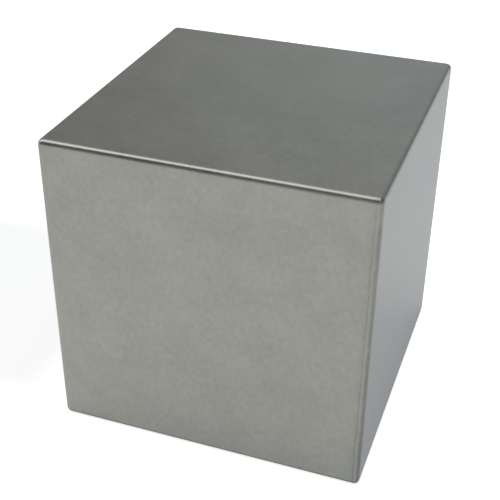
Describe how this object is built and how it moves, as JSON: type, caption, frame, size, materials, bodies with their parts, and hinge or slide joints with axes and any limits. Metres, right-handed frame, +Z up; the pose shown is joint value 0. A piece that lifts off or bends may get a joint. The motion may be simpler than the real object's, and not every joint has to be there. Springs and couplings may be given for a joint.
{
  "type": "solid metal cube",
  "caption": "Solid cube of dense grey metal with satin-ground flat faces and finely rounded edges, a desk weight or density sample that can rest on any face.",
  "frame": {"origin": "middle of the face that the cube rests on, on the ground plane", "axes": "+Z up, +X to the cube's right, -Y out of its front face; the axes are square to the faces"},
  "size_m": [0.0382, 0.0382, 0.0381],
  "materials": {
    "ground_metal": "satin"
  },
  "bodies": {
    "root": {"metal_cube": "ground_metal"}
  },
  "joints": []
}
